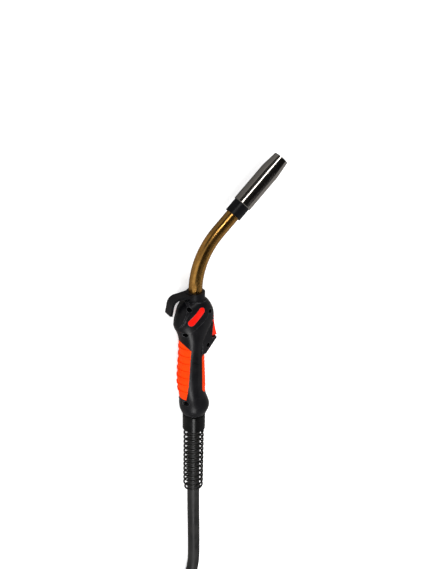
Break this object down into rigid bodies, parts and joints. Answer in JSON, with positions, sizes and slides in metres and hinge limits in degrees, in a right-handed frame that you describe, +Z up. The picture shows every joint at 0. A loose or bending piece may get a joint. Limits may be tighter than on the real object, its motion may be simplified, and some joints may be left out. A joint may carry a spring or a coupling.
{
  "type": "mig welding torch",
  "caption": "Gas-cooled MIG torch lying on its side: bent neck with push-on nozzle, hooked handle with trigger, ball-jointed sprung cable, coiled lead and central plug.",
  "frame": {"origin": "middle of the bare torch's bounding box (without cable, coil and plug), on the surface that it lies on", "axes": "+Y along the handle's axis towards the neck, +X towards the trigger, +Z up from the surface, normal to the plane of the neck's bend"},
  "size_m": [0.2377, 0.9702, 0.049],
  "materials": {
    "polished_dark_chrome": "polished",
    "lacquered_brass": "polished",
    "bare_brass": "machined",
    "copper": "machined",
    "spring_steel": "satin",
    "black_steel": "satin",
    "black_plastic": "fine grain",
    "white_insulation": "smooth",
    "orange_grip": "satin",
    "red_orange_plastic": "satin",
    "red_badge": "gloss",
    "cable_rubber": "satin",
    "red_lead": "satin",
    "woven_strap": "woven",
    "zinc_steel": "zinc plated"
  },
  "bodies": {
    "torch": {"back_grip_pad": "orange_grip", "cable_terminal": "bare_brass", "contact_tip": "copper", "front_grip_pad": "orange_grip", "gas_diffuser": "white_insulation", "handle_shell_left": "black_plastic", "handle_shell_right": "black_plastic", "hook_collar": "black_plastic", "inner_cable": "cable_rubber", "insulator_collar": "black_plastic", "left_badge": "red_badge", "microswitch_body": "black_plastic", "neck_conductor": "copper", "neck_insulation": "white_insulation", "neck_liner": "spring_steel", "neck_nut": "bare_brass", "neck_tube": "lacquered_brass", "nozzle_spring": "spring_steel", "right_badge": "red_badge", "shell_screws": "zinc_steel", "switch_leads": "red_lead", "tip_holder": "bare_brass", "trigger_pin": "zinc_steel"},
    "nozzle": {"gas_nozzle": "polished_dark_chrome"},
    "trigger": {"trigger": "red_orange_plastic"},
    "plunger": {"switch_plunger": "red_orange_plastic"},
    "cable": {"cable_ball": "black_plastic", "guard_sleeve": "black_plastic", "bend_guard_spring": "black_steel", "power_cable": "cable_rubber", "cable_coil": "cable_rubber", "cable_tail": "cable_rubber", "cable_straps": "woven_strap", "connector_boot": "cable_rubber", "connector_shell_top": "black_plastic", "connector_shell_bottom": "black_plastic", "plug_body": "bare_brass", "plug_face": "white_insulation", "gas_o_ring": "cable_rubber", "liner_nut": "bare_brass", "connector_screws": "zinc_steel"},
    "coupling_nut": {"coupling_nut": "black_plastic"},
    "control_pin_a": {"control_pin_a": "bare_brass"},
    "control_pin_b": {"control_pin_b": "bare_brass"}
  },
  "joints": [
    {"name": "nozzle_pull", "type": "slide", "parent": "torch", "child": "nozzle", "axis": [0.7169, 0.6972, 0], "range_m": [0, 0.09]},
    {"name": "trigger_hinge", "type": "hinge", "parent": "torch", "child": "trigger", "pos_m": [-0.02284, 0.03207, 0.0205], "axis": [0, 0, -1], "range_deg": [0, 6.5], "stiffness_Nm_per_rad": 1.2, "springref_deg": -4.58},
    {"name": "plunger_slide", "type": "slide", "parent": "torch", "child": "plunger", "axis": [-1, 0, 0], "range_m": [0, 0.00095]},
    {"name": "cable_swing", "type": "hinge", "parent": "torch", "child": "cable", "pos_m": [-0.04334, -0.09993, 0.0205], "axis": [0, 0, 1], "range_deg": [-5, 5]},
    {"name": "coupling_nut_spin", "type": "hinge", "parent": "cable", "child": "coupling_nut", "pos_m": [0.09466, -0.70593, 0.0245], "axis": [1, 0, 0], "continuous": true},
    {"name": "control_pin_a_slide", "type": "slide", "parent": "cable", "child": "control_pin_a", "axis": [-1, 0, 0], "range_m": [0, 0.003], "stiffness_N_per_m": 600, "springref_m": -0.002},
    {"name": "control_pin_b_slide", "type": "slide", "parent": "cable", "child": "control_pin_b", "axis": [-1, 0, 0], "range_m": [0, 0.003], "stiffness_N_per_m": 600, "springref_m": -0.002}
  ],
  "couplings": [
    {"joint": "plunger_slide", "follows": "trigger_hinge", "m_per_rad": 0.008}
  ]
}
